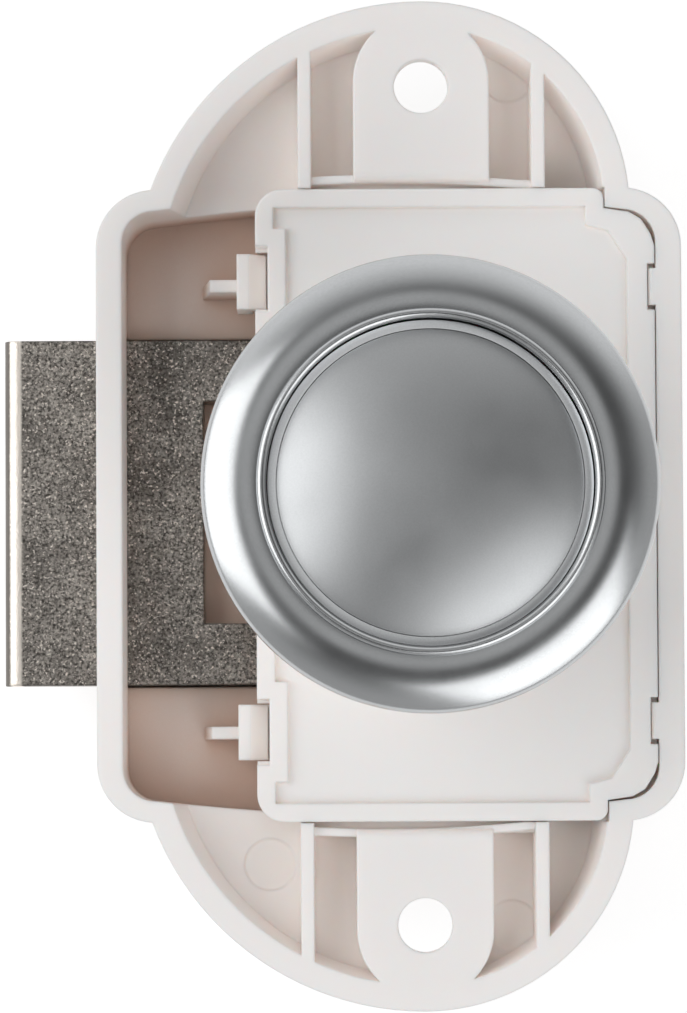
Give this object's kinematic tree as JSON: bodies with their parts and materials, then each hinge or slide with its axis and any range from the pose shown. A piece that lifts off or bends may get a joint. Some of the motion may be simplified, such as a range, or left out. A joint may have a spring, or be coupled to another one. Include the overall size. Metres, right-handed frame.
{
  "type": "push button cabinet lock",
  "caption": "Push button lock for a cabinet door: white case with rounded screw ears, flat metal bolt in its side, and a domed chrome button in a ring on the door front.",
  "frame": {"origin": "on the button axis, at the case rim that lies against the back of the door, midway between the two screw holes", "axes": "+Z out of the door front along the button axis, -X towards the bolt nose, +Y along the case from ear to ear"},
  "size_m": [0.0469, 0.069, 0.036],
  "materials": {
    "white_plastic": "smooth moulded",
    "natural_plastic": "smooth moulded",
    "satin_chrome": "satin",
    "nickel_steel": "grainy nickel plating",
    "steel": "bright zinc plating"
  },
  "bodies": {
    "case": {"housing": "white_plastic", "cover_plate": "white_plastic", "sleeve": "white_plastic", "rosette": "satin_chrome", "return_spring": "steel", "follower_wire": "steel", "follower_leaf": "steel"},
    "bolt": {"bolt": "nickel_steel", "drive_pins": "steel"},
    "button": {"plunger": "natural_plastic", "knob_stem": "natural_plastic", "knob_cap": "satin_chrome", "face_disc": "satin_chrome", "stem_screw": "steel", "spring_washer": "steel"}
  },
  "joints": [
    {"name": "button_slide", "type": "slide", "parent": "case", "child": "button", "axis": [0, 0, 1], "range_m": [-0.0007, 0.0068], "deforming": ["return_spring", "follower_wire"]},
    {"name": "bolt_slide", "type": "slide", "parent": "case", "child": "bolt", "axis": [1, 0, 0], "range_m": [-0.0007, 0.0068]}
  ],
  "couplings": [
    {"joint": "bolt_slide", "follows": "button_slide", "ratio": 1}
  ]
}
